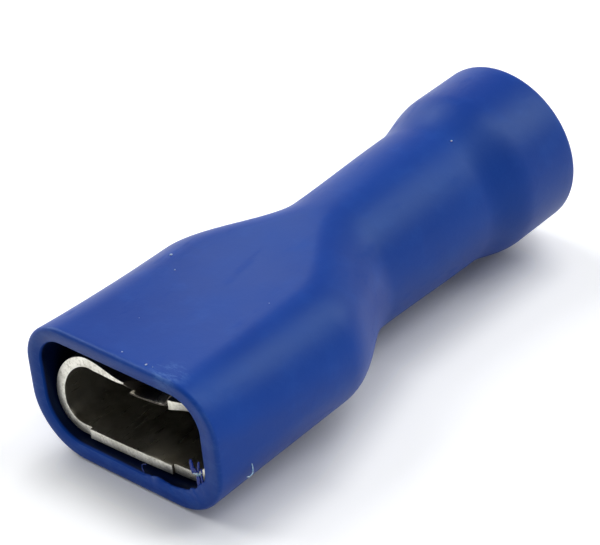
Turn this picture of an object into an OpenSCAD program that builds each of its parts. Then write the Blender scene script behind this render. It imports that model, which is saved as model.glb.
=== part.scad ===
// Fully insulated female spade terminal, for a 6.3 mm tab and 1.5 to 2.5 mm2 wire.
// A folded sheet-metal contact is pushed into a moulded vinyl sleeve.
// X runs from the mouth to the wire end. The modules measure X from the mouth and Z from
// the middle of the sleeve's flat box. placed() then centres the part over its lowest point.

/* [Tab and wire] */
// Width of the male tab that the contact takes
tab_w = 6.35; // [5.8:0.05:6.6]
// Thickness of the male tab
tab_t = 0.8; // [0.7:0.05:0.9]
// Bore of the crimp barrel, for the bare strands
strand_d = 2.3; // [2:0.05:2.5]
// Bore of the sleeve behind the barrel, for the wire's insulation
insulation_d = 4.3; // [4:0.05:4.6]

/* [Contact] */
// Thickness of the brass sheet
sheet_t = 0.4; // [0.3:0.02:0.44]
// Free space at each edge of the tab
tab_side_gap = 0.08; // [0.06:0.01:0.15]
// Free space between the tab and the rolled edges that press on it
tab_lift_gap = 0.06; // [0.04:0.01:0.15]
// Height of the receptacle, from the underside of its floor to the top of its rolls
receptacle_h = 3.5; // [3.4:0.05:3.8]
// Length of the receptacle
receptacle_l = 7.4; // [6.8:0.1:8]
// How far the floor's front lip sits inside the mouth
recess = 0.3; // [0.1:0.05:0.6]
// Half the width of that lip. On the -Y side it is a sixth shorter.
lip_half_w = 2.1; // [1.6:0.05:2.2]
// How far the lip stands out in front of the walls
lip_reach = 0.12; // [0.05:0.01:0.2]
// Outer radius of the bends between the floor and the walls
bend_r = 1.2; // [1.1:0.05:1.3]
// Half the distance between the tops of the two rolls
roll_spacing = 1.85; // [1.6:0.05:2]
// How far the rolled edges' front ends droop below the tops of the rolls
entry_droop = 0.36; // [0.2:0.02:0.6]
// Length of the flared entry
entry_run = 1.8; // [1.4:0.1:2.4]
// How much further back the front edge lies at the -Y wall than at the +Y wall
front_lean = 0.25; // [0:0.05:0.6]
// How far the front of the -Y roll sags
roll_sag = 0.35; // [0:0.05:0.5]
// How much further back again the rolled edge on the -Y side begins
edge_setback = 0.3; // [0.15:0.05:0.5]
// How high the front of that rolled edge is above where it presses on the tab
tucked_h = 0.2; // [0.1:0.05:0.5]
// Thickness of the rolled edges' coined front corners
coined_t = 0.1; // [0.08:0.02:0.2]
// How much flatter than an ellipse the rolls' shoulders are
roll_slack = 0.14; // [0:0.02:0.3]
// Gap between the two rolled edges
edge_gap = 0.3; // [0.2:0.05:0.6]
// Diameter of the detent that is pressed up in the floor
detent_d = 1.6; // [1.2:0.1:2]
// Height of the detent
detent_h = 0.25; // [0.15:0.05:0.3]
// Distance from the lip to the middle of the detent
detent_x = 4; // [3:0.1:5]
// Length of the open waist between the receptacle and the barrel
waist_l = 2.6; // [2.2:0.1:3.2]
// Half the width of the flat blank at the waist
waist_half_w = 3; // [2.6:0.1:3.4]
// Length of the crimp barrel
barrel_l = 5.5; // [5:0.1:6.5]
// Width of the butt seam along the barrel
seam_w = 0.08; // [0.04:0.02:0.2]
// Number of serration grooves in the barrel's bore
serrations = 3; // [1:1:4]
// Depth of each groove
serration_depth = 0.08; // [0.04:0.01:0.12]
// Width of each groove
serration_w = 0.25; // [0.2:0.05:0.35]

/* [Sleeve] */
// Wall of the box at the sides and the bottom of its mouth
wall = 0.73; // [0.6:0.01:0.9]
// Wall of the box at the top of its mouth
wall_top = 0.58; // [0.5:0.01:0.9]
// Free space beside the receptacle at the mouth
side_gap = 0.14; // [0.12:0.01:0.2]
// Free space under the receptacle at the mouth
bottom_gap = 0.16; // [0.14:0.01:0.25]
// Free space above the receptacle at the mouth
top_gap = 0.55; // [0.3:0.05:0.6]
// How much the pocket narrows on each side from its mouth to its end
draft = 0.08; // [0.04:0.01:0.1]
// Corner radius at the top of the mouth
mouth_r_top = 1.94; // [1.6:0.02:2.2]
// Corner radius at the bottom of the mouth
mouth_r_bottom = 2.28; // [1.8:0.02:2.3]
// How far each side of the box swells out between the mouth and the shoulder
side_swell = 0.33; // [0.2:0.01:0.5]
// How far the top and the bottom draw in over the same length
face_fall = 0.25; // [0.1:0.01:0.28]
// Length from the shoulder to the end of the receptacle
shoulder_lead = 0.9; // [0.6:0.1:1.2]
// Length of the barrel that the taper overlaps
taper_overlap = 1.3; // [0.8:0.1:2]
// How far the barrel's axis lies below the middle of the box
axis_drop = 0.12; // [0.08:0.01:0.2]
// Wall around the barrel
barrel_wall = 1.27; // [1:0.01:1.4]
// Free space around the barrel in its seat
seat_gap = 0.02; // [0.01:0.01:0.05]
// Height of the collar that the end of the barrel butts against
collar_h = 0.3; // [0.2:0.02:0.36]
// Length of the funnel that leads the strands into the barrel
funnel_l = 1.2; // [0.9:0.1:1.8]
// Wall around the wire's insulation
insulation_wall = 0.78; // [0.6:0.02:0.95]
// Length over which the neck swells to the flare
swell_l = 2.4; // [1.8:0.1:3]
// Length of the flared wire entry
flare_l = 2.6; // [2:0.1:3.4]
// Free space that the flare adds around the wire's insulation
flare_gap = 0.38; // [0.2:0.02:0.6]
// Wall of the flare
flare_wall = 0.85; // [0.7:0.01:1.1]
// Radius on the rim of the flare
rim_r = 0.35; // [0.2:0.05:0.4]
// Radius on the outer edge of the mouth
lip_r = 0.12; // [0.06:0.02:0.2]

/* [Hidden] */

$fn = 64;
tinned_brass = [0.80, 0.79, 0.74];
vinyl_blue = [0.13, 0.26, 0.62];
overrun = 1;
// How far a shape runs into another where they join
bite = 0.03;

// Stations along X, from the mouth to the wire end
lip_x = recess;
wall_x = lip_x + lip_reach;
flare_end_x = wall_x + entry_run;
receptacle_end_x = lip_x + receptacle_l;
barrel_x = receptacle_end_x + waist_l;
barrel_end_x = barrel_x + barrel_l;
shoulder_x = receptacle_end_x - shoulder_lead;
taper_end_x = barrel_x + taper_overlap;
swell_x = barrel_end_x + funnel_l;
flare_x = swell_x + swell_l;
sleeve_l = flare_x + flare_l;

// Contact, across X. These follow the middle of the sheet.
receptacle_w = tab_w + 2 * (tab_side_gap + sheet_t);
mouth_w = receptacle_w + 2 * (side_gap + wall);
mouth_h = receptacle_h + bottom_gap + top_gap + wall + wall_top;
underside_z = -mouth_h / 2 + wall + bottom_gap;
floor_z = underside_z + sheet_t / 2;
side_y = receptacle_w / 2 - sheet_t / 2;
bend_mid_r = bend_r - sheet_t / 2;
flat_half_w = side_y - bend_mid_r;
bend_l = bend_mid_r * PI / 2;
roll_z = underside_z + bend_r + sheet_t / 2;
roll_top_z = underside_z + receptacle_h - sheet_t / 2;
// The tab's edges rest on the two bends, so it lies above the floor. They meet the bends just
// short of the walls.
bend_inner_r = bend_r - sheet_t;
tab_edge_gap = 0.75 * tab_side_gap;
tab_z = underside_z + bend_r
      - sqrt(pow(bend_inner_r, 2) - pow(bend_inner_r - tab_edge_gap, 2));
press_z = tab_z + tab_t + tab_lift_gap + sheet_t / 2;
entry_z = roll_top_z - entry_droop;

// Barrel and the sleeve's bores
barrel_r = strand_d / 2 + sheet_t;
barrel_mid_r = barrel_r - sheet_t / 2;
blank_half_w = flat_half_w + bend_l + roll_z - underside_z - bend_r;
barrel_half_w = barrel_mid_r * PI - seam_w / 2;
neck_r = barrel_r + barrel_wall;
neck_end_r = insulation_d / 2 + insulation_wall;
flare_bore_r = insulation_d / 2 + flare_gap;
flare_r = flare_bore_r + flare_wall;
rest_h = flare_r + axis_drop;

function mix(a, b, t) = a + (b - a) * t;
function clamp(t) = max(0, min(1, t));
function ease(t) = let(u = clamp(t)) u * u * (3 - 2 * u);

// ---------------------------------------------------------------- Contact

// The contact is one blank, divided into columns that are counted outwards from the middle of
// its floor: to the lip's end, the flat's end, around the bend, up the wall, over the roll and
// down to the edge. At the barrel, wings take the place of the roll and the edge.
lip_steps = 6;
flat_steps = 1;
bend_steps = 5;
wall_steps = 1;
roll_steps = 6;
edge_steps = 6;
wing_steps = 3;
lip_col = lip_steps;
flat_col = lip_col + flat_steps;
bend_col = flat_col + bend_steps;
wall_col = bend_col + wall_steps;
roll_col = wall_col + roll_steps;
edge_col = roll_col + edge_steps;
wing_col = wall_col + wing_steps;

// Distance of column q from the middle, along the blank at the receptacle
function blank_pos(q) =
    q <= lip_col ? lip_half_w * q / lip_col :
    q <= flat_col ? mix(lip_half_w, flat_half_w, (q - lip_col) / (flat_col - lip_col)) :
    q <= bend_col ? flat_half_w + bend_l * (q - flat_col) / (bend_col - flat_col) :
    mix(flat_half_w + bend_l, blank_half_w, (q - bend_col) / (wall_col - bend_col));

// The same at x, as the blank narrows to the waist and then spreads into the barrel's wings
function along(q, x) =
    q <= wall_col ?
        blank_pos(q) * mix(1, waist_half_w / blank_half_w, ease(2 * (x - receptacle_end_x) / waist_l)) :
    mix(waist_half_w, barrel_half_w, (q - wall_col) / (wing_col - wall_col));

// The blank bent up: a floor, a bend on each side and a wall on each bend. Along the waist the
// floor narrows and the bends close in until they are the barrel.
function folded(s, x) =
    let(w = ease((x - receptacle_end_x) / waist_l),
        half_floor = mix(flat_half_w, 0, w),
        r = mix(bend_mid_r, barrel_mid_r, w),
        z = mix(floor_z, -axis_drop - barrel_mid_r, w),
        full_turn = mix(90, 180, w),
        a = min((s - half_floor) / r * 180 / PI, full_turn),
        rest = s - half_floor - r * full_turn * PI / 180)
    s <= half_floor ? [s, z] :
    [half_floor + r * sin(a), z + r * (1 - cos(a))] + max(rest, 0) * [cos(a), sin(a)];

// The rolled edge: over the top of the roll, then down to press on the tab.
// At the front it is flared open.
function edge(q, x) =
    let(a = clamp((q - wall_col) / (roll_col - wall_col)) * 90,
        v = (q - roll_col) / (edge_col - roll_col),
        end_z = mix(entry_z, press_z, ease((x - wall_x) / entry_run)))
    q <= roll_col ?
        [mix(roll_spacing, side_y, pow(cos(a), 1 + roll_slack)),
         mix(roll_z, roll_top_z, pow(sin(a), 1 + roll_slack))] :
        [mix(roll_spacing, edge_gap / 2, v), mix(roll_top_z, end_z, ease(v))];

// The last column of the sheet at x
function last_col(x) =
    x < receptacle_end_x + bite ? edge_col : x < barrel_x - bite ? wall_col : wing_col;

function section(q, x) =
    q > wall_col && last_col(x) == edge_col ? edge(q, x) : folded(along(max(q, 0), x), x);

// Unit normal of the sheet, pointing out of the receptacle
function outward(q, x) =
    let(d = 0.02, t = section(min(q + d, last_col(x)), x) - section(q - d, x))
    [t[1], -t[0]] / norm(t);

// 1 at the front edge, fading to 0 where the flared entry ends
function at_entry(x) = clamp((flare_end_x - x) / (flare_end_x - wall_x));

// How far the front of the -Y side, at height z, is pushed down: the roll sags, and its edge
// is tucked in
function tuck(col, x, z) =
    let(v = (-col - roll_col) / (edge_col - roll_col),
        sag = roll_sag * ease((-col - wall_col) / (roll_col - wall_col)))
    at_entry(x) * mix(sag, z - press_z - tucked_h, ease(4 * v));

// A point on one face of the sheet. col runs from -edge_col to edge_col.
function sheet_point(col, x, offset) =
    let(q = abs(col), p = section(q, x), n = q == 0 ? [0, -1] : outward(q, x))
    [x, sign(col) * (p[0] + n[0] * offset), p[1] + n[1] * offset - tuck(col, x, p[1])];

waist_steps = 8;
front_rows = [lip_x, wall_x, wall_x + edge_setback,
              for (i = [1:3]) mix(wall_x + edge_setback, flare_end_x, i / 3)];
rows = concat(front_rows,
              [for (i = [0:waist_steps]) receptacle_end_x + waist_l * i / waist_steps],
              [barrel_end_x]);
col_count = 2 * edge_col + 1;
waist_row = len(front_rows);
barrel_row = waist_row + waist_steps;

// The front edge curves back towards -Y
function row_x(row, col) =
    let(x = rows[row], y = sign(col) * section(abs(col), x)[0])
    row < waist_row ? x + front_lean * at_entry(x) * pow((1 - y / side_y) / 2, 2) : x;

// How much of its thickness the sheet has lost at a coined front corner
function coined(row, col) =
    row == 1 && col > roll_col ?
        (sheet_t - coined_t) * clamp((col - roll_col - 1) / (edge_col - roll_col - 1)) :
    row == 2 && col < -roll_col ? sheet_t - coined_t : 0;

// Distance of each face from the middle of the sheet. Around the barrel's bore the sheet is
// a little too thick, and the bore is then cut true.
function face_offset(row, col, side) =
    side > 0 ? sheet_t / 2 : -sheet_t / 2 + coined(row, col) - (row >= barrel_row ? bite : 0);

// Whether the blank has metal between row and row + 1, and between column c and c + 1
function has_metal(row, c) =
    let(q = max(abs(c), abs(c + 1)), low = min(c, c + 1))
    row < 0 || row > barrel_row || c < -edge_col || c >= edge_col ? false :
    row == 0 ? q <= lip_col && low > -lip_col :
    row == 1 ? low >= -roll_col :
    row < waist_row ? true :
    row < barrel_row ? q <= wall_col : q <= wing_col;

module folded_sheet() {
    size = len(rows) * col_count;
    points = [for (side = [1, -1], r = [0:len(rows) - 1], c = [-edge_col:edge_col])
              sheet_point(c, row_x(r, c), face_offset(r, c, side))];
    function id(r, c, side) = side * size + r * col_count + c + edge_col;
    function quad(a, b, c, d) = [[a, c, b], [a, d, c]];
    cells = [for (r = [0:barrel_row], c = [-edge_col:edge_col - 1]) if (has_metal(r, c)) [r, c]];
    faces = [for (k = cells) let(r = k[0], c = k[1]) each concat(
        quad(id(r, c, 0), id(r, c + 1, 0), id(r + 1, c + 1, 0), id(r + 1, c, 0)),
        quad(id(r + 1, c, 1), id(r + 1, c + 1, 1), id(r, c + 1, 1), id(r, c, 1)),
        has_metal(r - 1, c) ? [] :
            quad(id(r, c, 1), id(r, c + 1, 1), id(r, c + 1, 0), id(r, c, 0)),
        has_metal(r + 1, c) ? [] :
            quad(id(r + 1, c, 0), id(r + 1, c + 1, 0), id(r + 1, c + 1, 1), id(r + 1, c, 1)),
        has_metal(r, c - 1) ? [] :
            quad(id(r + 1, c, 0), id(r + 1, c, 1), id(r, c, 1), id(r, c, 0)),
        has_metal(r, c + 1) ? [] :
            quad(id(r, c + 1, 0), id(r, c + 1, 1), id(r + 1, c + 1, 1), id(r + 1, c + 1, 0)))];
    polyhedron(points, faces, convexity = 8);
}

// A rod along X on the barrel's axis
module rod(x0, x1, r) {
    translate([x0, 0, -axis_drop]) rotate([0, 90, 0]) cylinder(h = x1 - x0, r = r);
}

module barrel_bore() {
    bore_r = strand_d / 2;
    pitch = barrel_l / (serrations + 1);
    rod(barrel_x - sheet_t, barrel_end_x + overrun, bore_r);
    for (i = [1:serrations])
        let(x = barrel_x + i * pitch)
        rod(x - serration_w / 2, x + serration_w / 2, bore_r + serration_depth);
}

detent_ball_r = (pow(detent_d / 2, 2) + pow(detent_h, 2)) / (2 * detent_h);

// Centre of the ball that shapes the detent
module at_detent() {
    translate([lip_x + detent_x, 0, floor_z + sheet_t / 2 + detent_h - detent_ball_r]) children();
}

module detent() {
    intersection() {
        at_detent() sphere(r = detent_ball_r);
        translate([lip_x + detent_x - detent_d, -detent_d, floor_z])
            cube([2 * detent_d, 2 * detent_d, sheet_t + detent_h]);
    }
}

module contact() {
    color(tinned_brass) placed() difference() {
        union() {
            folded_sheet();
            detent();
        }
        at_detent() sphere(r = detent_ball_r - sheet_t);
        barrel_bore();
    }
}

// ---------------------------------------------------------------- Sleeve

arc_steps = 10;

// Rounded rectangle around the X axis at x, with its own radii at the top and the bottom.
// Where half_w, half_h and both radii agree it is a circle.
function ring(x, half_w, half_h, r_top, r_bottom, z) =
    [for (corner = [0:3], i = [0:arc_steps - 1])
        let(a = 90 * (corner + (i + 0.5) / arc_steps),
            top = corner < 2,
            r = min(top ? r_top : r_bottom, half_w, half_h),
            sy = corner == 0 || corner == 3 ? 1 : -1,
            sz = top ? 1 : -1)
        [x, sy * (half_w - r) + r * cos(a), z + sz * (half_h - r) + r * sin(a)]];

function circle_ring(x, r) = ring(x, r, r, r, r, -axis_drop);

module loft(rings) {
    n = len(rings[0]);
    last = len(rings) - 1;
    polyhedron([for (r = rings) each r],
        concat([[for (i = [0:n - 1]) i]],
               [for (j = [0:last - 1], i = [0:n - 1])
                    let(a = j * n + i, b = j * n + (i + 1) % n)
                    each [[a, a + n, b + n], [a, b + n, b]]],
               [[for (i = [n - 1:-1:0]) last * n + i]]),
        convexity = 6);
}

// Outside of the box and its taper, drawn in by inset
function box_ring(x, inset = 0) =
    let(u = clamp(x / shoulder_x), swell = 1 - pow(1 - u, 2),
        t = ease((x - shoulder_x) / (taper_end_x - shoulder_x)),
        shoulder_r = mouth_h / 2 - face_fall,
        half_w = mouth_w / 2 + side_swell * swell,
        half_h = mouth_h / 2 - face_fall * swell)
    ring(x,
         mix(half_w, neck_r, t) - inset,
         mix(half_h, neck_r, t) - inset,
         mix(mix(mouth_r_top, shoulder_r, swell), neck_r, t) - inset,
         mix(mix(mouth_r_bottom, shoulder_r, swell), neck_r, t) - inset,
         -axis_drop * t);

mouth_steps = 3;
box_steps = 5;
taper_steps = 12;

module box_outside() {
    loft(concat(
        [for (i = [0:mouth_steps]) let(a = 90 * i / mouth_steps)
            box_ring(lip_r * (1 - cos(a)), lip_r * (1 - sin(a)))],
        [for (i = [1:box_steps]) box_ring(mix(lip_r, shoulder_x, i / box_steps))],
        [for (i = [1:taper_steps]) box_ring(mix(shoulder_x, taper_end_x, i / taper_steps),
                                            i == taper_steps ? bite : 0)],
        [circle_ring(taper_end_x + wall, neck_r - 2 * bite)]));
}

// The pocket for the receptacle, which closes in around the waist to the barrel's seat
module pocket() {
    end_x = receptacle_end_x + side_gap;
    end_r = bend_r + side_gap - draft;
    function at(x, t) =
        let(depth = clamp(x / end_x), inset = wall + draft * depth,
            rise = (1 - depth) * (wall - wall_top) / 2)
        ring(x,
             mix(mouth_w / 2 - inset, barrel_r, t),
             mix(mouth_h / 2 - inset + rise, barrel_r, t),
             mix(mix(mouth_r_top - wall, end_r, depth), barrel_r, t),
             mix(mix(mouth_r_bottom - wall, end_r, depth), barrel_r, t),
             mix(rise, -axis_drop, t));
    steps = 10;
    loft(concat(
        [at(-overrun, 0), at(0, 0)],
        [for (i = [0:steps]) at(mix(end_x, barrel_x + wall, i / steps), ease(i / steps))],
        [circle_ring(barrel_x + 2 * wall, barrel_r - 5 * bite)]));
}

// Turns a profile of [radius, x] points about the barrel's axis
module turned(profile) {
    translate([0, 0, -axis_drop]) rotate([0, 90, 0]) rotate_extrude() polygon(profile);
}

module wire_end_outside() {
    steps = 8;
    turned(concat(
        [[0, taper_end_x], [neck_r, taper_end_x]],
        [for (i = [0:steps]) [mix(neck_end_r, flare_r, ease(i / steps)), swell_x + swell_l * i / steps]],
        [for (i = [0:4]) let(a = 90 * i / 4)
            [flare_r - rim_r * (1 - cos(a)), sleeve_l - rim_r * (1 - sin(a))]],
        [[0, sleeve_l]]));
}

// Barrel seat, collar, funnel, insulation bore and flared entry, in one
module wire_bore() {
    seat_r = barrel_r + seat_gap;
    collar_x = barrel_end_x + seat_gap;
    bell_x = flare_x - swell_l / 4;
    edge_break = rim_r / 2;
    turned([[0, barrel_x], [seat_r, barrel_x], [seat_r, collar_x],
            [barrel_r - collar_h, collar_x], [insulation_d / 2, swell_x],
            [insulation_d / 2, bell_x], [flare_bore_r, flare_x + swell_l / 4],
            [flare_bore_r, sleeve_l - edge_break], [flare_bore_r + edge_break, sleeve_l],
            [flare_bore_r + edge_break, sleeve_l + overrun], [0, sleeve_l + overrun]]);
}

module insulating_sleeve() {
    color(vinyl_blue) placed() difference() {
        union() {
            box_outside();
            wire_end_outside();
        }
        pocket();
        wire_bore();
    }
}

module placed() {
    translate([-sleeve_l / 2, 0, rest_h]) children();
}

contact();
insulating_sleeve();
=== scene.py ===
"""Looks of a fully insulated female spade terminal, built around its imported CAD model.

The shapes are drawn in millimetres with X measured from the mouth and Z from the middle of the
sleeve's flat box, as in the CAD source. row_frame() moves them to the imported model's frame.
"""
import math
import random

import bpy
import numpy as np
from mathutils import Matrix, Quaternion, Vector, noise


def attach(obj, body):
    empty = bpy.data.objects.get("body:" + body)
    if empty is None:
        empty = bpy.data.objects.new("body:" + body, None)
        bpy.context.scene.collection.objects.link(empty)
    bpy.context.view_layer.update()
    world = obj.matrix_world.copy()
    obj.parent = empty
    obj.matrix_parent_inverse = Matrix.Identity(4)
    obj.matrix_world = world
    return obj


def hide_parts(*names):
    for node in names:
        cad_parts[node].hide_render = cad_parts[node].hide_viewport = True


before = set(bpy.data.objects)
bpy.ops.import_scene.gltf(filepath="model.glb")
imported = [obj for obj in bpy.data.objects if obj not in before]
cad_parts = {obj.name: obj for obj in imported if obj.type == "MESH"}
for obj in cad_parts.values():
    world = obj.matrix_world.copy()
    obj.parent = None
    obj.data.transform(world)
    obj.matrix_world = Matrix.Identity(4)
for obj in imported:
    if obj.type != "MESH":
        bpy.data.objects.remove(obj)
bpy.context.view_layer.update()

MM = 0.001
SEED = 7

# ---------------------------------------------------------------- sizes, mm

SHEET_T = 0.4
SLEEVE_L = 22.0
REST_H = 3.5

# Stations along X
LIP_X = 0.3
WALL_X = 0.42
FLARE_END_X = 2.22
SHOULDER_X = 6.8
RECEPTACLE_END_X = 7.7
BARREL_X = 10.3
TAPER_END_X = 11.6
BARREL_END_X = 15.8
SWELL_X = 17.0
FLARE_X = 19.4
# The wire's bore opens out between these two
THROAT_X = FLARE_X - 0.6
BELL_X = FLARE_X + 0.6

# Sleeve
MOUTH_W = 9.05
MOUTH_H = 5.52
WALL = 0.73
WALL_TOP = 0.58
DRAFT = 0.08
SIDE_GAP = 0.14
MOUTH_R_TOP = 1.94
MOUTH_R_BOTTOM = 2.28
SIDE_SWELL = 0.32
FACE_FALL = 0.25
AXIS_Z = -0.12
NECK_R = 2.82
NECK_END_R = 2.93
FLARE_R = 3.38
FLARE_BORE_R = 2.53
INSULATION_R = 2.15
RIM_R = 0.2
MOUTH_LIP_R = 0.16
COLLAR_H = 0.3
SEAT_GAP = 0.02

# Contact. The sizes across X are to the middle of the sheet.
UNDERSIDE_Z = -1.87
FLOOR_Z = UNDERSIDE_Z + SHEET_T / 2
SIDE_Y = 3.455
BEND_R = 1.2
BEND_MID_R = BEND_R - SHEET_T / 2
FLAT_HALF_W = SIDE_Y - BEND_MID_R
LIP_HALF_W = 2.1
LIP_SHORT_HALF_W = 1.75
ROLL_Z = UNDERSIDE_Z + BEND_R + SHEET_T / 2
ROLL_TOP_Z = 1.43
ROLL_SPACING = 1.85
ENTRY_Z = ROLL_TOP_Z - 0.36
PRESS_Z = 0.086
EDGE_GAP = 0.3
FRONT_LEAN = 0.25
ROLL_SAG = 0.35
# How far the front of the -Y roll's shoulder lies back, and how far past its place the edge
# beside it reaches in. The CAD source has neither.
SHOULDER_BACK = 0.5
EDGE_REACH = 0.5
SETBACK_X = WALL_X + 0.3
TUCKED_H = 0.2
COINED_T = 0.07
COINED_RUN = 0.35
ROLL_SLACK = 0.14
BARREL_R = 1.55
BARREL_MID_R = BARREL_R - SHEET_T / 2
WAIST_L = BARREL_X - RECEPTACLE_END_X
WAIST_HALF_W = 3.0
SEAM_W = 0.08
DETENT_X = LIP_X + 4.0
DETENT_D = 1.6
DETENT_FRONT_X = DETENT_X - DETENT_D / 2
DETENT_BACK_X = DETENT_X + DETENT_D / 2
DETENT_H = 0.25
SERRATIONS = 3
SERRATION_DEPTH = 0.08
SERRATION_W = 0.25


def row_frame(points):
    """Points in mm, as above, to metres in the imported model's frame."""
    return (np.asarray(points, float) + (-SLEEVE_L / 2, 0, REST_H)) * MM


def mix(a, b, t):
    return a + (b - a) * t


def clamp(t):
    return max(0.0, min(1.0, t))


def ease(t):
    """A smooth step from 0 to 1."""
    u = clamp(t)
    return u * u * (3 - 2 * u)


def new_mesh(name, points, faces, slot, material, replaces=None):
    """A smooth-shaded piece from points in mm, riding on the part's one body."""
    mesh = bpy.data.meshes.new(name)
    mesh.from_pydata([tuple(p) for p in row_frame(points)], [], faces)
    mesh.validate()
    mesh.shade_smooth()
    piece = bpy.data.objects.new(name, mesh)
    bpy.context.scene.collection.objects.link(piece)
    mesh.materials.append(material)
    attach(piece, "root")
    if replaces:
        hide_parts(replaces)
    return piece


# ---------------------------------------------------------------- materials

def node(tree, kind, inputs=None, **settings):
    """A shader node. inputs holds constants, or sockets to link from."""
    made = tree.nodes.new(kind)
    for key, value in settings.items():
        setattr(made, key, value)
    for key, value in (inputs or {}).items():
        if isinstance(value, bpy.types.NodeSocket):
            tree.links.new(value, made.inputs[key])
        else:
            made.inputs[key].default_value = value
    return made


def ramp(tree, factor, start, end):
    """An eased ramp over factor between two stops of (position, value)."""
    made = tree.nodes.new("ShaderNodeValToRGB")
    made.color_ramp.interpolation = "EASE"
    for element, (position, value) in zip(made.color_ramp.elements, (start, end)):
        element.position = position
        element.color = (value, value, value, 1)
    tree.links.new(factor, made.inputs["Fac"])
    return made.outputs["Color"]


def mixed(tree, factor, a, b):
    """A mix of two colours, each of them a constant or a socket."""
    made = tree.nodes.new("ShaderNodeMix")
    made.data_type = "RGBA"
    for name, kind, value in (("Factor", "VALUE", factor), ("A", "RGBA", a), ("B", "RGBA", b)):
        socket = next(i for i in made.inputs if i.name == name and i.type == kind)
        if isinstance(value, bpy.types.NodeSocket):
            tree.links.new(value, socket)
        else:
            socket.default_value = (*value, 1)
    return next(o for o in made.outputs if o.type == "RGBA")


def mixed_grey(tree, factor, a, b):
    """The same for two numbers, of which the first may be a socket."""
    first = a if isinstance(a, bpy.types.NodeSocket) else (a,) * 3
    return mixed(tree, factor, first, (b,) * 3)


def relief(tree, height, strength, depth, over=None):
    """A bump of the given depth in mm, on top of another bump's normal."""
    inputs = {"Height": height, "Strength": strength, "Distance": depth * MM}
    if over:
        inputs["Normal"] = over
    return node(tree, "ShaderNodeBump", inputs).outputs["Normal"]


def millimetres(tree):
    """Position on the part in mm, which the scene's poses carry along."""
    where = node(tree, "ShaderNodeTexCoord").outputs["Object"]
    return node(tree, "ShaderNodeVectorMath", {0: where, 1: (1 / MM,) * 3},
                operation="MULTIPLY").outputs["Vector"]


def noise_value(tree, vector, scale, detail=3.0, roughness=0.5, stretch=None):
    """Noise with `scale` features per mm, stretched by the given factors along X, Y and Z."""
    if stretch:
        vector = node(tree, "ShaderNodeVectorMath", {0: vector, 1: stretch},
                      operation="MULTIPLY").outputs["Vector"]
    return node(tree, "ShaderNodeTexNoise",
                {"Vector": vector, "Scale": scale, "Detail": detail,
                 "Roughness": roughness}).outputs["Fac"]


def math_node(tree, operation, a, b=0.0):
    return node(tree, "ShaderNodeMath", {0: a, 1: b}, operation=operation).outputs["Value"]


def new_material(name):
    material = bpy.data.materials.new(name)
    material.use_nodes = True
    tree = material.node_tree
    tree.nodes.clear()
    surface = tree.nodes.new("ShaderNodeBsdfPrincipled")
    output = tree.nodes.new("ShaderNodeOutputMaterial")
    tree.links.new(surface.outputs["BSDF"], output.inputs["Surface"])
    return material, tree, surface


VINYL = (0.005, 0.054, 0.360)
VINYL_DEEP = (0.004, 0.043, 0.315)
VINYL_PALE = (0.010, 0.068, 0.395)
VINYL_SCUFF = (0.055, 0.145, 0.480)
# The middle of the scuff on the mouth's upper edge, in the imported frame
SCUFF_AT = (-10.65, -2.3, 6.2)
# Painted shade for the inside: its near-black colour, and how far in from either end it is painted
# in full
VINYL_PAINTED_SHADE = (0.0006, 0.0035, 0.024)
PAINTED_SHADE_DEPTH = 0.14


def rubbed(tree, where, from_end):
    """How scratched the outside is: most round the scuff, and a little along both end edges."""
    from_scuff = node(tree, "ShaderNodeVectorMath", {0: where, 1: SCUFF_AT},
                      operation="DISTANCE").outputs["Value"]
    worn = math_node(tree, "MAXIMUM", ramp(tree, from_scuff, (0.2, 1.0), (1.0, 0.0)),
                     ramp(tree, from_end, (0.05, 0.22), (0.35, 0.0)))
    scratch = noise_value(tree, where, 3.2, 6.0, 0.75, (1.0, 0.35, 1.0))
    return math_node(tree, "MULTIPLY", worn, ramp(tree, scratch, (0.47, 0.0), (0.62, 0.9)))


def vinyl_material(name, inside=False):
    """Soft moulded vinyl: satin, faintly clouded, with a fine grain and a few rubbed places.
    Inside, painted shade makes it near-black from a little way in from either end."""
    material, tree, surface = new_material(name)
    where = millimetres(tree)
    cloud = noise_value(tree, where, 0.16, 3.0, 0.55)
    mottle = noise_value(tree, where, 0.9, 4.0, 0.6)
    colour = mixed(tree, ramp(tree, cloud, (0.32, 0.0), (0.68, 1.0)), VINYL_DEEP, VINYL)
    colour = mixed(tree, ramp(tree, mottle, (0.48, 0.0), (0.78, 0.55)), colour, VINYL_PALE)
    along_x = node(tree, "ShaderNodeSeparateXYZ", {"Vector": where}).outputs["X"]
    from_end = math_node(tree, "SUBTRACT", SLEEVE_L / 2, math_node(tree, "ABSOLUTE", along_x))
    # Painted shade: the inside turns near-black a little way in from either end, where it lies in
    # the dark
    if inside:
        colour = mixed(tree, ramp(tree, from_end, (0.0, 0.0), (PAINTED_SHADE_DEPTH, 1.0)),
                       colour, VINYL_PAINTED_SHADE)
    else:
        colour = mixed(tree, rubbed(tree, where, from_end), colour, VINYL_SCUFF)
    tree.links.new(colour, surface.inputs["Base Color"])
    rub = noise_value(tree, where, 1.6, 5.0, 0.65, (0.35, 1.0, 1.0))
    rough = mixed_grey(tree, ramp(tree, cloud, (0.3, 0.0), (0.7, 1.0)), 0.40, 0.47)
    rough = mixed_grey(tree, ramp(tree, rub, (0.56, 0.0), (0.72, 0.8)), rough, 0.55)
    tree.links.new(rough, surface.inputs["Roughness"])
    grain = noise_value(tree, where, 14.0, 3.0, 0.6)
    normal = relief(tree, grain, 0.10, 0.02, relief(tree, mottle, 0.10, 0.12))
    tree.links.new(normal, surface.inputs["Normal"])
    surface.inputs["IOR"].default_value = 1.5
    surface.inputs["Specular IOR Level"].default_value = 0.1 if inside else 0.33
    surface.inputs["Specular Tint"].default_value = (0.55, 0.85, 1.0, 1)
    return material


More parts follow.
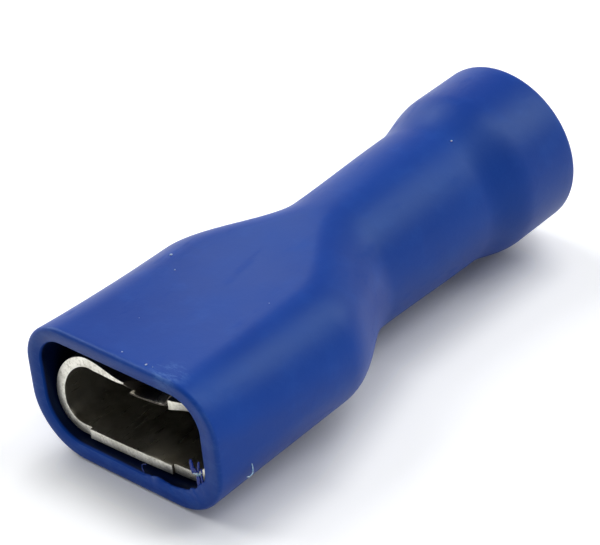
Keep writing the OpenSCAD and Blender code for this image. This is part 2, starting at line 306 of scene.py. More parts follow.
TIN = (0.62, 0.60, 0.54)
TIN_DULL = (0.30, 0.28, 0.23)
SHEARED = (0.88, 0.86, 0.77)
SHEARED_DULL = (0.42, 0.40, 0.33)
# Painted shade: near-black colours for the cut edges that lie in the dark
EDGE_PAINTED_SHADE = (0.09, 0.08, 0.065)
EDGE_PAINTED_SHADE_DEEP = (0.05, 0.045, 0.04)


def metal_material(name, bright, dull, roughness, stretch, depth, streaks):
    """Tin-plated brass sheet, with duller patches and streaks of the given strength."""
    material, tree, surface = new_material(name)
    where = millimetres(tree)
    cloud = noise_value(tree, where, 0.8, 4.0, 0.6)
    streak = noise_value(tree, where, 6.0, 4.0, 0.65, stretch)
    grain = noise_value(tree, where, 22.0, 3.0, 0.7)
    colour = mixed(tree, ramp(tree, cloud, (0.35, 0.0), (0.7, 0.6)), bright, dull)
    colour = mixed(tree, ramp(tree, streak, (0.45, 0.0), (0.75, streaks)), colour, dull)
    tree.links.new(colour, surface.inputs["Base Color"])
    rough = mixed_grey(tree, ramp(tree, streak, (0.3, 0.0), (0.7, 1.0)), *roughness)
    tree.links.new(rough, surface.inputs["Roughness"])
    normal = relief(tree, grain, depth, 0.006, relief(tree, streak, depth, 0.01))
    tree.links.new(normal, surface.inputs["Normal"])
    surface.inputs["Metallic"].default_value = 1.0
    return material


def plated_material():
    """The sheet's faces: smooth tin with rolling streaks along X."""
    return metal_material("tinned_brass", TIN, TIN_DULL, roughness=(0.27, 0.30),
                          stretch=(0.12, 1.0, 1.0), depth=0.01, streaks=0.04)


def sheared_material():
    """The sheet's cut edges that catch the light: brighter, rougher and speckled."""
    return metal_material("sheared_edge", SHEARED, SHEARED_DULL, roughness=(0.34, 0.48),
                          stretch=(1.6, 1.6, 1.6), depth=0.6, streaks=0.9)


def edge_shade_material():
    """The cut edges further in, which lie in the dark: painted shade, a near-black colour for them.
    """
    return metal_material("painted_shade_edge", EDGE_PAINTED_SHADE, EDGE_PAINTED_SHADE_DEEP, roughness=(0.45, 0.6),
                          stretch=(1.0, 1.0, 1.0), depth=0.3, streaks=0.5)


# ---------------------------------------------------------------- sleeve

# Points round each loop, and steps in a quarter turn of its corners and of the rounded edges
AROUND = 224
CORNER_STEPS = 48
EDGE_TURN = [math.radians(90 * i / 6) for i in range(7)]


def outline(half_w, half_h, r_top, r_bottom):
    """AROUND points, evenly spaced round a rounded rectangle from the middle of its +Y side."""
    path = [(half_w, 0.0)]
    for corner in range(4):
        top = corner < 2
        r = min(r_top if top else r_bottom, half_w, half_h)
        cy = (half_w - r) * (1 if corner in (0, 3) else -1)
        cz = (half_h - r) * (1 if top else -1)
        for i in range(CORNER_STEPS + 1):
            a = math.radians(90 * (corner + i / CORNER_STEPS))
            path.append((cy + r * math.cos(a), cz + r * math.sin(a)))
    path.append((half_w, 0.0))
    path = np.array(path)
    run = np.concatenate([[0], np.cumsum(np.hypot(*np.diff(path, axis=0).T))])
    at = np.linspace(0, run[-1], AROUND, endpoint=False)
    return np.column_stack([np.interp(at, run, path[:, 0]), np.interp(at, run, path[:, 1])])


def ring(x, half_w, half_h, r_top, r_bottom, z):
    yz = outline(half_w, half_h, r_top, r_bottom)
    return np.column_stack([np.full(AROUND, x), yz[:, 0], yz[:, 1] + z])


def circle_ring(x, r):
    return ring(x, r, r, r, r, AXIS_Z)


def box_ring(x, inset=0.0):
    """Outside of the sleeve's box and its taper, at x, drawn in by inset."""
    u = clamp(x / SHOULDER_X)
    swell = 1 - (1 - u) ** 2
    t = ease((x - SHOULDER_X) / (TAPER_END_X - SHOULDER_X))
    shoulder_r = MOUTH_H / 2 - FACE_FALL
    half_w = MOUTH_W / 2 + SIDE_SWELL * swell
    half_h = MOUTH_H / 2 - FACE_FALL * swell
    return ring(x,
                mix(half_w, NECK_R, t) - inset,
                mix(half_h, NECK_R, t) - inset,
                mix(mix(MOUTH_R_TOP, shoulder_r, swell), NECK_R, t) - inset,
                mix(mix(MOUTH_R_BOTTOM, shoulder_r, swell), NECK_R, t) - inset,
                AXIS_Z * t)


def outside_ring(x):
    """The skin's outside at x, from behind the mouth's edge to the wire end's rim."""
    if x <= TAPER_END_X:
        return box_ring(x)
    if x <= SWELL_X:
        t = ease((x - TAPER_END_X) / (SWELL_X - TAPER_END_X))
        return circle_ring(x, mix(NECK_R, NECK_END_R, t))
    return circle_ring(x, mix(NECK_END_R, FLARE_R, ease((x - SWELL_X) / (FLARE_X - SWELL_X))))


def pocket_ring(x, grow=0.0):
    """The pocket for the receptacle, which closes in round the waist to the barrel's seat."""
    end_x = RECEPTACLE_END_X + SIDE_GAP
    end_r = BEND_R + SIDE_GAP - DRAFT
    depth = clamp(x / end_x)
    t = ease((x - end_x) / (BARREL_X + WALL - end_x))
    inset = WALL + DRAFT * depth - grow
    rise = (1 - depth) * (WALL - WALL_TOP) / 2
    return ring(x,
                mix(MOUTH_W / 2 - inset, BARREL_R, t),
                mix(MOUTH_H / 2 - inset + rise, BARREL_R, t),
                mix(mix(MOUTH_R_TOP - WALL + grow, end_r, depth), BARREL_R, t),
                mix(mix(MOUTH_R_BOTTOM - WALL + grow, end_r, depth), BARREL_R, t),
                mix(rise, AXIS_Z, t))


# The pocket's last plain loop, the loop where its flash starts, and how far its edge is broken
POCKET_FRONT_X = 0.12
FLASH_ROOT_X = 0.07
POCKET_EDGE_BREAK = 0.04
# The flash: its width, where it begins and ends along the edge, over what length it fades
# in, how finely it is torn, and half the height of the edge that it grows from
FLASH_W = 0.20
FLASH_FROM_Y = -0.75
FLASH_END_Z = -0.9
FLASH_FADE = 0.5
FLASH_TEARS_PER_MM = 5.0
FLASH_EDGE_HALF_H = 1.8


def rings_between(start, stretches, ring_at):
    """Loops from start through the ends of the stretches, which are (end, stations)."""
    rings = []
    for end, stations in stretches:
        rings += [ring_at(x) for x in np.linspace(start, end, stations)[1:]]
        start = end
    return rings


def outside_rings():
    """Over the mouth's lip and back along the outside, to the wire end's rim."""
    lip = [box_ring(MOUTH_LIP_R * (1 - math.cos(a)), MOUTH_LIP_R * (1 - math.sin(a)))
           for a in EDGE_TURN]
    return lip + rings_between(MOUTH_LIP_R, ((SHOULDER_X, 34), (TAPER_END_X, 34), (SWELL_X, 18),
                                             (FLARE_X, 20), (SLEEVE_L - RIM_R, 8)), outside_ring)


EDGE_BREAK = RIM_R / 2


def rim_rings():
    """Round the outer edge of the wire end's rim, and then round the edge of its bore."""
    outer = [circle_ring(SLEEVE_L - RIM_R * (1 - math.sin(a)), FLARE_R - RIM_R * (1 - math.cos(a)))
             for a in EDGE_TURN[1:]]
    inner = [circle_ring(SLEEVE_L - EDGE_BREAK * (1 - math.cos(a)),
                         FLARE_BORE_R + EDGE_BREAK * (1 - math.sin(a))) for a in EDGE_TURN]
    return outer + inner


def bore_ring(x):
    """The wire's bore at x: wide at the bell, narrower from its throat on, and then a funnel
    down to the collar."""
    if x >= SWELL_X:
        opening = ease((x - THROAT_X) / (BELL_X - THROAT_X))
        return circle_ring(x, mix(INSULATION_R, FLARE_BORE_R, opening))
    funnel = (x - BARREL_END_X) / (SWELL_X - BARREL_END_X)
    return circle_ring(x, mix(BARREL_R - COLLAR_H, INSULATION_R, funnel))


def seat_ring(x):
    return circle_ring(x, BARREL_R + SEAT_GAP)


def inside_rings():
    """Forward along the wire's bore, the barrel's seat and the pocket, to the mouth's edge."""
    collar_x = BARREL_END_X + SEAT_GAP
    seat_end_x = BARREL_X + WALL
    bore = rings_between(SLEEVE_L - EDGE_BREAK, ((BELL_X, 6), (THROAT_X, 12), (SWELL_X, 6),
                                                 (collar_x, 10)), bore_ring)
    seat = [seat_ring(collar_x)] + rings_between(BARREL_END_X, ((seat_end_x, 8),), seat_ring)
    pocket = rings_between(seat_end_x, ((RECEPTACLE_END_X, 22), (POCKET_FRONT_X, 30)), pocket_ring)
    edge = [with_flash(pocket_ring(FLASH_ROOT_X), 0.8),
            with_flash(pocket_ring(0.0, POCKET_EDGE_BREAK), 1.0)]
    return bore + seat + pocket + edge


def with_flash(loop, amount):
    """A loop at the pocket's edge with the ragged flash along its lower -Y side."""
    loop = loop.copy()
    for i, (x, y, z) in enumerate(loop):
        reach = ease((FLASH_FROM_Y - y) / FLASH_FADE) * ease((FLASH_END_Z - z) / FLASH_FADE)
        torn = 0.75 + 0.6 * noise.noise((y * FLASH_TEARS_PER_MM, z * FLASH_TEARS_PER_MM,
                                         3.0 + amount))
        lift = FLASH_W * amount * reach * torn
        inwards = y / math.hypot(y, FLASH_EDGE_HALF_H)
        loop[i, 1:] = y - lift * inwards * 0.5, z + lift
    return loop


def closed_tube(rings):
    """Points and faces of a skin whose last ring joins the first."""
    count = len(rings)
    faces = []
    for j in range(count):
        a, b = j * AROUND, ((j + 1) % count) * AROUND
        for i in range(AROUND):
            k = (i + 1) % AROUND
            faces.append((a + i, a + k, b + k, b + i))
    return np.vstack(rings), faces


def build_sleeve(outside, inside):
    skin = outside_rings() + rim_rings()
    rings = skin + inside_rings()
    points, faces = closed_tube(rings)
    piece = new_mesh("sleeve", points, faces, "insulating_sleeve", outside, "insulating_sleeve")
    piece.data.materials.append(inside)
    for face in piece.data.polygons[(len(skin) - 1) * AROUND:(len(rings) - 1) * AROUND]:
        face.material_index = 1


# ---------------------------------------------------------------- contact

# Columns of the blank, counted outwards from the middle of its floor
LIP_COL = 18
FLAT_COL = LIP_COL + 2
BEND_COL = FLAT_COL + 10
WALL_COL = BEND_COL + 4
ROLL_COL = WALL_COL + 14
EDGE_COL = ROLL_COL + 14
WING_COL = WALL_COL + 8
BEND_L = BEND_MID_R * math.pi / 2
BLANK_HALF_W = FLAT_HALF_W + BEND_L + ROLL_Z - UNDERSIDE_Z - BEND_R
BARREL_HALF_W = BARREL_MID_R * math.pi - SEAM_W / 2
# Column where the lip ends on the -Y side
LIP_SHORT_COL = -round(LIP_COL * LIP_SHORT_HALF_W / LIP_HALF_W)
# How far a row may miss the place where the outline changes and still count as there
BITE = 0.03


def blank_pos(q):
    """Distance of column q from the middle, along the blank at the receptacle."""
    if q <= LIP_COL:
        return LIP_HALF_W * q / LIP_COL
    if q <= FLAT_COL:
        return mix(LIP_HALF_W, FLAT_HALF_W, (q - LIP_COL) / (FLAT_COL - LIP_COL))
    if q <= BEND_COL:
        return FLAT_HALF_W + BEND_L * (q - FLAT_COL) / (BEND_COL - FLAT_COL)
    return mix(FLAT_HALF_W + BEND_L, BLANK_HALF_W, (q - BEND_COL) / (WALL_COL - BEND_COL))


def along(q, x):
    """The same at x, as the blank narrows to the waist and spreads into the barrel's wings."""
    if q <= WALL_COL:
        narrow = ease(2 * (x - RECEPTACLE_END_X) / WAIST_L)
        return blank_pos(q) * mix(1, WAIST_HALF_W / BLANK_HALF_W, narrow)
    return mix(WAIST_HALF_W, BARREL_HALF_W, (q - WALL_COL) / (WING_COL - WALL_COL))


def folded(s, x):
    """Point at s along the bent-up blank: floor, bend and wall, closing into the barrel."""
    w = ease((x - RECEPTACLE_END_X) / WAIST_L)
    half_floor = mix(FLAT_HALF_W, 0, w)
    r = mix(BEND_MID_R, BARREL_MID_R, w)
    z = mix(FLOOR_Z, AXIS_Z - BARREL_MID_R, w)
    full_turn = math.radians(mix(90, 180, w))
    if s <= half_floor:
        return s, z
    a = min((s - half_floor) / r, full_turn)
    rest = max(s - half_floor - r * full_turn, 0)
    return (half_floor + r * math.sin(a) + rest * math.cos(a),
            z + r * (1 - math.cos(a)) + rest * math.sin(a))


def rolled_edge(q, x):
    """Over the top of the roll, then down to press on the tab. At the front it is flared open."""
    if q <= ROLL_COL:
        a = math.radians(90 * clamp((q - WALL_COL) / (ROLL_COL - WALL_COL)))
        out, rise = (abs(f(a)) ** (1 + ROLL_SLACK) for f in (math.cos, math.sin))
        return mix(ROLL_SPACING, SIDE_Y, out), mix(ROLL_Z, ROLL_TOP_Z, rise)
    v = (q - ROLL_COL) / (EDGE_COL - ROLL_COL)
    end_z = mix(ENTRY_Z, PRESS_Z, ease((x - WALL_X) / (FLARE_END_X - WALL_X)))
    return mix(ROLL_SPACING, EDGE_GAP / 2, v), mix(ROLL_TOP_Z, end_z, ease(v))


def last_col(x):
    """The outermost column that the blank has at x."""
    if x < RECEPTACLE_END_X + BITE:
        return EDGE_COL
    return WALL_COL if x < BARREL_X - BITE else WING_COL


def section(q, x):
    """Y and Z of column q at x, in the middle of the sheet."""
    if q > WALL_COL and last_col(x) == EDGE_COL:
        return rolled_edge(q, x)
    return folded(along(max(q, 0), x), x)


def outward(q, x):
    """Unit normal of the sheet, pointing out of the receptacle."""
    step = 0.02
    y0, z0 = section(q - step, x)
    y1, z1 = section(min(q + step, last_col(x)), x)
    length = math.hypot(y1 - y0, z1 - z0)
    return (z1 - z0) / length, -(y1 - y0) / length


def at_entry(x):
    """1 at the front edge, fading to 0 where the flared entry ends."""
    return clamp((FLARE_END_X - x) / (FLARE_END_X - WALL_X))


def tuck(col, x, z):
    """How far the front of the -Y side, at height z, is pushed down: the roll sags and its
    edge is tucked in."""
    v = (-col - ROLL_COL) / (EDGE_COL - ROLL_COL)
    sag = ROLL_SAG * ease((-col - WALL_COL) / (ROLL_COL - WALL_COL))
    return at_entry(x) * mix(sag, z - PRESS_Z - TUCKED_H, ease(4 * v))


# Share of the detent's width over which its foot is rounded
DETENT_FOOT = 0.12


def detent_rise(x, y):
    """How far the floor is pressed up at the detent."""
    ball_r = ((DETENT_D / 2) ** 2 + DETENT_H ** 2) / (2 * DETENT_H)
    away = math.hypot(x - DETENT_X, y)
    if away >= DETENT_D / 2:
        return 0.0
    cap = math.sqrt(ball_r ** 2 - away ** 2) - (ball_r - DETENT_H)
    return cap * ease((DETENT_D / 2 - away) / (DETENT_FOOT * DETENT_D))


def serration_centres():
    return np.linspace(BARREL_X, BARREL_END_X, SERRATIONS + 2)[1:-1]


def serration_cut(x):
    """How deep the barrel's bore is cut at x."""
    cut = any(abs(x - centre) < SERRATION_W / 2 for centre in serration_centres())
    return SERRATION_DEPTH if cut else 0.0


# Half the length over which a groove's side drops
GROOVE_STEP = 0.001


def contact_rows():
    """Stations along X, and the numbers of the rows where the blank's outline changes."""
    rows, row_at = [LIP_X, WALL_X], {}
    for end_x, stations in ((SETBACK_X, 3), (FLARE_END_X, 16), (DETENT_FRONT_X, 10),
                            (DETENT_BACK_X, 16), (RECEPTACLE_END_X, 16), (BARREL_X, 22)):
        rows += list(np.linspace(rows[-1], end_x, stations)[1:])
        row_at[end_x] = len(rows) - 1
    rows += [centre + edge + step for centre in serration_centres()
             for edge in (-SERRATION_W / 2, SERRATION_W / 2)
             for step in (-GROOVE_STEP, GROOVE_STEP)]
    rows.append(BARREL_END_X)
    return rows, row_at[SETBACK_X], row_at[RECEPTACLE_END_X], row_at[BARREL_X]


ROWS, SETBACK_ROW, WAIST_ROW, BARREL_ROW = contact_rows()
LAST_ROW = len(ROWS) - 1
COLUMNS = range(-EDGE_COL, EDGE_COL + 1)


def has_metal(row, col):
    """Whether the blank has metal from row to row + 1 and from col to col + 1."""
    q = max(abs(col), abs(col + 1))
    if not (0 <= row < LAST_ROW and -EDGE_COL <= col < EDGE_COL):
        return False
    if row == 0:
        return q <= LIP_COL and col >= LIP_SHORT_COL
    if row < SETBACK_ROW:
        return col >= -ROLL_COL
    if row < WAIST_ROW:
        return True
    return q <= (WALL_COL if row < BARREL_ROW else WING_COL)


# Share of the bend after which the shoulder starts to lie back
SHOULDER_FROM = 0.35


def station(row, col):
    """X of a point of the blank: its front edge lies back towards -Y, and more so at the
    shoulder of the -Y roll."""
    x = ROWS[row]
    if x >= FLARE_END_X:
        return x
    y = math.copysign(section(abs(col), x)[0], col)
    lean = FRONT_LEAN * ((1 - y / SIDE_Y) / 2) ** 2
    first_col = mix(FLAT_COL, BEND_COL, SHOULDER_FROM)
    shoulder = min(ease((-col - first_col) / (WALL_COL - first_col)),
                   ease(2 * (ROLL_COL + col) / (ROLL_COL - WALL_COL)))
    return x + at_entry(x) * (lean + SHOULDER_BACK * shoulder)


# Share of the +Y rolled edge's width that keeps its full thickness at the front
COINED_FROM = 0.2


def coined(row, col):
    """How much of its thickness the sheet has lost near a coined front corner."""
    over = (abs(col) - ROLL_COL) / (EDGE_COL - ROLL_COL)
    if row < 1 or over <= 0:
        return 0.0
    share = clamp((over - COINED_FROM) / (1 - COINED_FROM)) if col > 0 else 1.0
    back = ROWS[row] - (WALL_X if col > 0 else SETBACK_X)
    return (SHEET_T - COINED_T) * share * clamp(1 - back / COINED_RUN)


def sheet_point(row, col, side):
    """A point of the sheet's outer side, 1, or of its inner side, -1."""
    x, q = station(row, col), abs(col)
    y, z = section(q, x)
    ny, nz = (0.0, -1.0) if q == 0 else outward(q, x)
    offset = side * SHEET_T / 2
    if side < 0:
        offset += coined(row, col)
        if row >= BARREL_ROW:
            offset += serration_cut(x)
    y, z = y + ny * offset, z + nz * offset - tuck(col, x, z)
    if q <= FLAT_COL:
        z += detent_rise(x, y)
    if col < -ROLL_COL:
        y -= EDGE_REACH * at_entry(x) * (q - ROLL_COL) / (EDGE_COL - ROLL_COL)
    return x, (y if col > 0 else -y) if col else 0.0, z


def sheet_faces():
    """Faces of the sheet's two sides, of the cut edges that face along X, and of those with painted
    shade: the cut edges that face along Y, and the front of the -Y rolled edge."""
    def at(row, col, side):
        return (side * len(ROWS) + row) * len(COLUMNS) + col + EDGE_COL

    faces, cut_faces, shade_painted_faces = [], [], []
    for r in range(LAST_ROW):
        for c in COLUMNS[:-1]:
            if not has_metal(r, c):
                continue
            faces.append((at(r, c, 0), at(r, c + 1, 0), at(r + 1, c + 1, 0), at(r + 1, c, 0)))
            faces.append((at(r + 1, c, 1), at(r + 1, c + 1, 1), at(r, c + 1, 1), at(r, c, 1)))
            if not has_metal(r - 1, c):
                # The front of the -Y rolled edge gets painted shade
                front = shade_painted_faces if c < -ROLL_COL else cut_faces
                front.append((at(r, c, 1), at(r, c + 1, 1), at(r, c + 1, 0), at(r, c, 0)))
            if not has_metal(r + 1, c):
                cut_faces.append((at(r + 1, c, 0), at(r + 1, c + 1, 0),
                                  at(r + 1, c + 1, 1), at(r + 1, c, 1)))
            # Cut edges that face along Y, here and below, get painted shade
            if not has_metal(r, c - 1):
                shade_painted_faces.append((at(r + 1, c, 0), at(r + 1, c, 1), at(r, c, 1), at(r, c, 0)))
            if not has_metal(r, c + 1):
                shade_painted_faces.append((at(r, c + 1, 0), at(r, c + 1, 1),
                                   at(r + 1, c + 1, 1), at(r + 1, c + 1, 0)))
    return faces, cut_faces, shade_painted_faces


CUT_BEVEL = 0.06
BEVELLED_FROM = math.radians(42)


def build_contact(plated, sheared, tucked):
    points = [sheet_point(row, col, side) for side in (1, -1)
              for row in range(len(ROWS)) for col in COLUMNS]
    faces, cut_faces, shade_painted_faces = sheet_faces()
    first_cut = len(faces)
    first_shade_painted = first_cut + len(cut_faces)
    faces += cut_faces + shade_painted_faces
    used = sorted({i for face in faces for i in face})
    number = {old: new for new, old in enumerate(used)}
    piece = new_mesh("spade_contact", [points[i] for i in used],
                     [tuple(number[i] for i in face) for face in faces],
                     "contact", plated, "contact")
    piece.data.materials.append(sheared)
    piece.data.materials.append(tucked)
    for face in piece.data.polygons[first_cut:]:
        face.material_index = 1 if face.index < first_shade_painted else 2
    bevel = piece.modifiers.new("cut_edges", "BEVEL")
    bevel.width, bevel.segments = CUT_BEVEL * MM, 3
    bevel.limit_method, bevel.angle_limit = "ANGLE", BEVELLED_FROM
    bevel.use_clamp_overlap = True


# ---------------------------------------------------------------- flash and dust

def smooth_route(corners, steps=6):
    """A Catmull-Rom curve through the corners."""
    p = np.array([corners[0]] + list(corners) + [corners[-1]], float)
    route = []
    for i in range(1, len(p) - 2):
        for t in np.linspace(0, 1, steps, endpoint=False):
            route.append(0.5 * (2 * p[i] + (p[i + 1] - p[i - 1]) * t
                                + (2 * p[i - 1] - 5 * p[i] + 4 * p[i + 1] - p[i + 2]) * t ** 2
                                + (3 * p[i] - p[i - 1] - 3 * p[i + 1] + p[i + 2]) * t ** 3))
    return np.array(route + [p[-2]])


def wisp(corners, radius, sides=6):
    """A hair of vinyl that tapers to both ends, as points and faces."""
    route = smooth_route(corners)
    last = len(route) - 1
    points, faces = [], []
    for j, centre in enumerate(route):
        along_it = Vector(route[min(j + 1, last)] - route[max(j - 1, 0)]).normalized()
        across = along_it.orthogonal().normalized()
        other = along_it.cross(across)
        r = radius * (0.25 + 0.75 * math.sin(math.pi * (j + 0.5) / (last + 1)) ** 0.5)
        r *= random.uniform(0.8, 1.2)
        for i in range(sides):
            a = 2 * math.pi * i / sides
            points.append(tuple(Vector(centre) + (across * math.cos(a) + other * math.sin(a)) * r))
    for j in range(last):
        for i in range(sides):
            k = (i + 1) % sides
            faces.append((j * sides + i, j * sides + k, (j + 1) * sides + k, (j + 1) * sides + i))
    faces.append(tuple(reversed(range(sides))))
    faces.append(tuple(range(last * sides, (last + 1) * sides)))
    return points, faces


def joined(parts):
    """One list of points and one of faces from several."""
    points, faces = [], []
    for more_points, more_faces in parts:
        faces += [tuple(i + len(points) for i in face) for face in more_faces]
        points += more_points
    return points, faces


# Hairs of flash at the pocket's edge and one on the side: their corners, then their radii
CURL = [(0.10, -0.84, -1.60), (0.12, -0.60, -1.74), (0.12, -0.60, -1.98), (0.10, -0.78, -2.12),
        (0.06, -1.05, -2.06), (0.04, -1.30, -2.02)]
SPIKES = [[(0.12, -3.08, -0.41), (0.15, -3.06, -0.60), (0.13, -3.10, -0.78), (0.12, -3.16, -0.98)],
          [(0.10, -3.49, -0.34), (0.15, -3.40, -0.55), (0.12, -3.40, -0.85)],
          [(0.10, -3.20, -0.70), (0.14, -3.30, -0.95), (0.12, -3.40, -1.24), (0.06, -3.56, -1.50)],
          [(0.10, -3.40, -0.95), (0.14, -3.30, -1.15), (0.12, -3.34, -1.40), (0.06, -3.26, -1.66)],
          [(0.08, -3.60, -0.55), (0.10, -3.55, -0.95), (0.06, -3.62, -1.30)]]
BRIGHT_HAIR = [(0.13, -3.12, -0.96), (0.10, -3.30, -0.90), (0.08, -3.44, -0.88),
               (0.06, -3.60, -0.70)]
SIDE_HAIR = [(1.50, -4.60, -0.80), (1.46, -4.66, -0.92), (1.36, -4.72, -1.05), (1.22, -4.74, -1.10),
             (1.08, -4.70, -1.06)]
CURL_RADIUS = 0.022
SPIKE_RADII = (0.075, 0.05, 0.07, 0.06, 0.05)
BRIGHT_HAIR_RADIUS = 0.06
SIDE_HAIR_RADIUS = 0.028

TORN = ((0.004, 0.020, 0.220), (0.012, 0.060, 0.480))
STRETCHED = ((0.30, 0.52, 0.72), (0.62, 0.80, 0.86))
DUSTY = ((0.25, 0.38, 0.68), (0.60, 0.68, 0.85))


def flash_material(name, colour, glow):
    """Thin torn vinyl or dust: streaked between two colours, and light passes through it."""
    material, tree, surface = new_material(name)
    streak = noise_value(tree, millimetres(tree), 9.0, 3.0, 0.6)
    tree.links.new(mixed(tree, ramp(tree, streak, (0.35, 0.0), (0.65, 1.0)), colour, glow),
                   surface.inputs["Base Color"])
    tree.links.new(relief(tree, streak, 0.3, 0.01), surface.inputs["Normal"])
    surface.inputs["Roughness"].default_value = 0.38
    surface.inputs["Subsurface Weight"].default_value = 0.3
    surface.inputs["Subsurface Scale"].default_value = 0.1 * MM
    return material


def build_flash():
    hairs = [wisp(CURL, CURL_RADIUS)]
    hairs += [wisp(spike, radius) for spike, radius in zip(SPIKES, SPIKE_RADII)]
    new_mesh("flash", *joined(hairs), "insulating_sleeve", flash_material("torn_vinyl", *TORN))
    pale_hairs = [wisp(BRIGHT_HAIR, BRIGHT_HAIR_RADIUS), wisp(SIDE_HAIR, SIDE_HAIR_RADIUS)]
    new_mesh("pale_flash", *joined(pale_hairs), "insulating_sleeve",
             flash_material("stretched_vinyl", *STRETCHED))


# Dust on the upper side: X, Y and radius of each grain
DUST = [(0.39, -0.13, 0.026), (0.30, -1.35, 0.042), (0.34, -1.62, 0.018), (5.98, 2.84, 0.050),
        (5.29, 2.00, 0.028), (2.3, 0.9, 0.016), (5.6, -2.2, 0.016), (17.4, -1.04, 0.04)]


def skin_top(x, y):
    """Height of the upper side at x, y."""
    loop = outside_ring(x)
    upper = loop[loop[:, 2] > 0]
    order = np.argsort(upper[:, 1])
    return float(np.interp(y, upper[order, 1], upper[order, 2]))


def crumb(x, y, radius):
    """An irregular grain of dust, longer than it is high and a little sunk in the skin."""
    points, faces = [], []
    rings, sides = 4, 7
    longer, lower = 1.3, 0.7
    z = skin_top(x, y) + 0.3 * radius
    for j in range(1, rings):
        polar = math.pi * j / rings
        for i in range(sides):
            a = 2 * math.pi * i / sides
            r = radius * random.uniform(0.7, 1.2)
            points.append((x + longer * r * math.sin(polar) * math.cos(a),
                           y + r * math.sin(polar) * math.sin(a),
                           z + lower * r * math.cos(polar)))
    points += [(x, y, z + lower * radius), (x, y, z - lower * radius)]
    for i in range(sides):
        k = (i + 1) % sides
        faces.append((i, k, (rings - 1) * sides))
        for j in range(rings - 2):
            faces.append((j * sides + i, (j + 1) * sides + i, (j + 1) * sides + k, j * sides + k))
        faces.append(((rings - 2) * sides + i, (rings - 1) * sides + 1, (rings - 2) * sides + k))
    return points, faces


def build_dust():
    new_mesh("dust", *joined([crumb(*grain) for grain in DUST]), "insulating_sleeve",
             flash_material("pale_dust", *DUSTY))


# ---------------------------------------------------------------- stage, lamps and camera

# The part lies on the mouth's lower edge and the flare's front shoulder
LOWER_EDGE_Z = REST_H - MOUTH_H / 2
FLARE_TOUCH_X = 8.3


def seen_ray(tree):
    """1 for the rays that show a surface to the camera, directly, in gloss or through glass."""
    path = tree.nodes.new("ShaderNodeLightPath")
    mirrored = math_node(tree, "MAXIMUM", path.outputs["Is Glossy Ray"],
                         path.outputs["Is Transmission Ray"])
    return math_node(tree, "MAXIMUM", path.outputs["Is Camera Ray"], mirrored)


# The floor's colour where it is seen, and the light that it throws back on the part
FLOOR_SEEN = (0.86, 0.875, 0.90)
FLOOR_BOUNCE = (0.31, 0.31, 0.31)
# Painted light: how much the seen floor glows brighter away from the part, which thins the
# part's shadow there, and between which distances that sets in
FLOOR_LIFT = 0.44
LIFT_START, LIFT_END = 0.3, 3.0
# The patch under the part that keeps its full shadow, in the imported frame: its ends, its edge
# towards +Y, and its edge towards -Y beside the box and beside the neck
PATCH_FRONT_X, PATCH_BACK_X = -11.0, 8.0
PATCH_LEFT_Y = 2.0
PATCH_BOX_X, PATCH_BOX_Y = -7.0, -4.0
PATCH_NECK_X, PATCH_NECK_Y = 0.0, -2.0
FLOOR_R = 0.6
FLOOR_SIDES = 96
# How far below the part the floor lies, in mm, so that the two don't touch
FLOOR_GAP = 0.01


def outside_span(tree, low, value, high):
    """How far value lies outside the span from low to high."""
    past = math_node(tree, "MAXIMUM", math_node(tree, "SUBTRACT", low, value),
                     math_node(tree, "SUBTRACT", value, high))
    return math_node(tree, "MAXIMUM", past, 0.0)


def outside_patch(tree):
    """Distance from the patch of floor under the part, in mm."""
    where = node(tree, "ShaderNodeSeparateXYZ", {"Vector": millimetres(tree)}).outputs
    x = math_node(tree, "ADD", where["X"], FLARE_TOUCH_X)
    right_y = node(tree, "ShaderNodeMapRange",
                   {"Value": x, "From Min": PATCH_BOX_X, "From Max": PATCH_NECK_X,
                    "To Min": PATCH_BOX_Y, "To Max": PATCH_NECK_Y}).outputs["Result"]
    past = (outside_span(tree, PATCH_FRONT_X, x, PATCH_BACK_X),
            outside_span(tree, right_y, where["Y"], PATCH_LEFT_Y))
    squares = [math_node(tree, "MULTIPLY", side, side) for side in past]
    return math_node(tree, "SQRT", math_node(tree, "ADD", *squares))


def floor_material():
    """A pale floor that keeps the part's shadow under it. Away from the part it reads as white by
    painted light: a glow for seen rays that thins the shadow.
    """
    material, tree, surface = new_material("pale_floor")
    seen = seen_ray(tree)
    tree.links.new(mixed(tree, seen, FLOOR_BOUNCE, FLOOR_SEEN), surface.inputs["Base Color"])
    surface.inputs["Roughness"].default_value = 0.8
    surface.inputs["Specular IOR Level"].default_value = 0.1
    # Painted light: a glow for seen rays that rises with distance from the patch under the part
    lift = node(tree, "ShaderNodeMapRange",
                {"Value": outside_patch(tree), "From Min": LIFT_START, "From Max": LIFT_END,
                 "To Min": 0.0, "To Max": FLOOR_LIFT},
                interpolation_type="SMOOTHSTEP").outputs["Result"]
    surface.inputs["Emission Color"].default_value = (1, 1, 1, 1)
    tree.links.new(math_node(tree, "MULTIPLY", seen, lift), surface.inputs["Emission Strength"])
    return material


def build_stage():
    """A round floor, tilted to touch the part where it rests."""
    slope = math.atan2(LOWER_EDGE_Z, FLARE_TOUCH_X + SLEEVE_L / 2)
    mesh = bpy.data.meshes.new("floor")
    turns = [2 * math.pi * i / FLOOR_SIDES for i in range(FLOOR_SIDES)]
    edge = [(FLOOR_R * math.cos(a), FLOOR_R * math.sin(a), 0) for a in turns]
    mesh.from_pydata(edge, [], [tuple(range(FLOOR_SIDES))])
    floor = bpy.data.objects.new("floor", mesh)
    bpy.context.scene.collection.objects.link(floor)
    floor.location = (FLARE_TOUCH_X * MM, 0, -FLOOR_GAP * MM)
    floor.rotation_euler = (0, slope, 0)
    mesh.materials.append(floor_material())


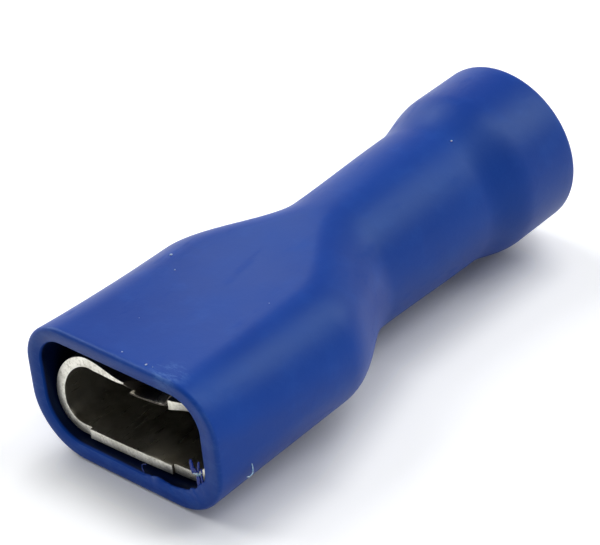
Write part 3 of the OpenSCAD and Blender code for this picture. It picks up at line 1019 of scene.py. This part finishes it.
def area_lamp(name, toward, distance, size, power, target=(0, 0, 0)):
    """A softbox that faces the target, in mm, from the given direction."""
    data = bpy.data.lights.new(name, "AREA")
    data.shape = "RECTANGLE"
    data.size, data.size_y = size
    data.energy = power
    lamp = bpy.data.objects.new(name, data)
    bpy.context.scene.collection.objects.link(lamp)
    direction = Vector(toward).normalized()
    lamp.location = Vector(target) * MM + direction * distance
    lamp.rotation_mode = "QUATERNION"
    lamp.rotation_quaternion = direction.to_track_quat("Z", "X")
    lamp.visible_camera = False


# Where the small lamp makes the oval sheen on the box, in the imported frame
SHEEN_AT = (-4.4, -0.3, 6.0)


def build_lamps():
    """Sizes and distances are in metres, and powers in watts."""
    area_lamp("key", (0.60, -0.38, 0.71), 0.32, (0.30, 0.15), 0.54)
    area_lamp("back_fill", (-0.05, 0.78, 0.62), 0.34, (0.26, 0.26), 0.79)
    area_lamp("side_fill", (-0.58, -0.76, 0.28), 0.048, (0.022, 0.022), 0.0038)
    area_lamp("back_spot", (0.60, 0.58, 0.56), 0.024, (0.004, 0.004), 0.0004, SHEEN_AT)


# Light on the part from all round, and how dim the seen ceiling is between the two heights
AMBIENT = 0.17
CEILING = 0.25
CEILING_FROM, CEILING_FULL = 0.15, 0.5


def build_world():
    """White to the camera and in gloss, but for a dimmer ceiling; a low plain light otherwise."""
    world = bpy.data.worlds.new("studio")
    world.use_nodes = True
    tree = world.node_tree
    tree.nodes.clear()
    seen = seen_ray(tree)
    ambient = node(tree, "ShaderNodeBackground", {"Color": (1, 1, 1, 1), "Strength": AMBIENT})
    up = node(tree, "ShaderNodeSeparateXYZ",
              {"Vector": node(tree, "ShaderNodeTexCoord").outputs["Generated"]}).outputs["Z"]
    dimmed = node(tree, "ShaderNodeMapRange",
                  {"Value": up, "From Min": CEILING_FROM, "From Max": CEILING_FULL,
                   "To Min": 1.0, "To Max": CEILING},
                  interpolation_type="SMOOTHSTEP").outputs["Result"]
    white = node(tree, "ShaderNodeBackground", {"Color": (1, 1, 1, 1), "Strength": dimmed})
    both = node(tree, "ShaderNodeMixShader", {0: seen, 1: ambient.outputs[0], 2: white.outputs[0]})
    output = tree.nodes.new("ShaderNodeOutputWorld")
    tree.links.new(both.outputs[0], output.inputs["Surface"])
    bpy.context.scene.world = world


# The camera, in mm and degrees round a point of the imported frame
CAMERA_TARGET = (-0.667, 0.726, 3.534)
CAMERA_DISTANCE = 95.83
CAMERA_AZIMUTH = -46.10
CAMERA_ELEVATION = 33.71
CAMERA_ROLL = -5.89
CAMERA_LENS = 155.6


def build_camera():
    data = bpy.data.cameras.new("camera")
    data.lens, data.sensor_width = CAMERA_LENS, 36
    data.clip_start, data.clip_end = 0.005, 5
    camera = bpy.data.objects.new("camera", data)
    bpy.context.scene.collection.objects.link(camera)
    a, e = math.radians(CAMERA_AZIMUTH), math.radians(CAMERA_ELEVATION)
    back = Vector((math.sin(a) * math.cos(e), -math.cos(a) * math.cos(e), math.sin(e)))
    camera.location = (Vector(CAMERA_TARGET) + back * CAMERA_DISTANCE) * MM
    camera.rotation_mode = "QUATERNION"
    camera.rotation_quaternion = (back.to_track_quat("Z", "Y")
                                  @ Quaternion((0, 0, 1), math.radians(CAMERA_ROLL)))
    bpy.context.scene.camera = camera


random.seed(SEED)
bpy.context.scene.view_settings.view_transform = "Standard"
build_camera()
build_world()
build_lamps()
build_stage()
build_sleeve(vinyl_material("satin_blue_vinyl"), vinyl_material("painted_shade_blue_vinyl", inside=True))
build_contact(plated_material(), sheared_material(), edge_shade_material())
build_flash()
build_dust()
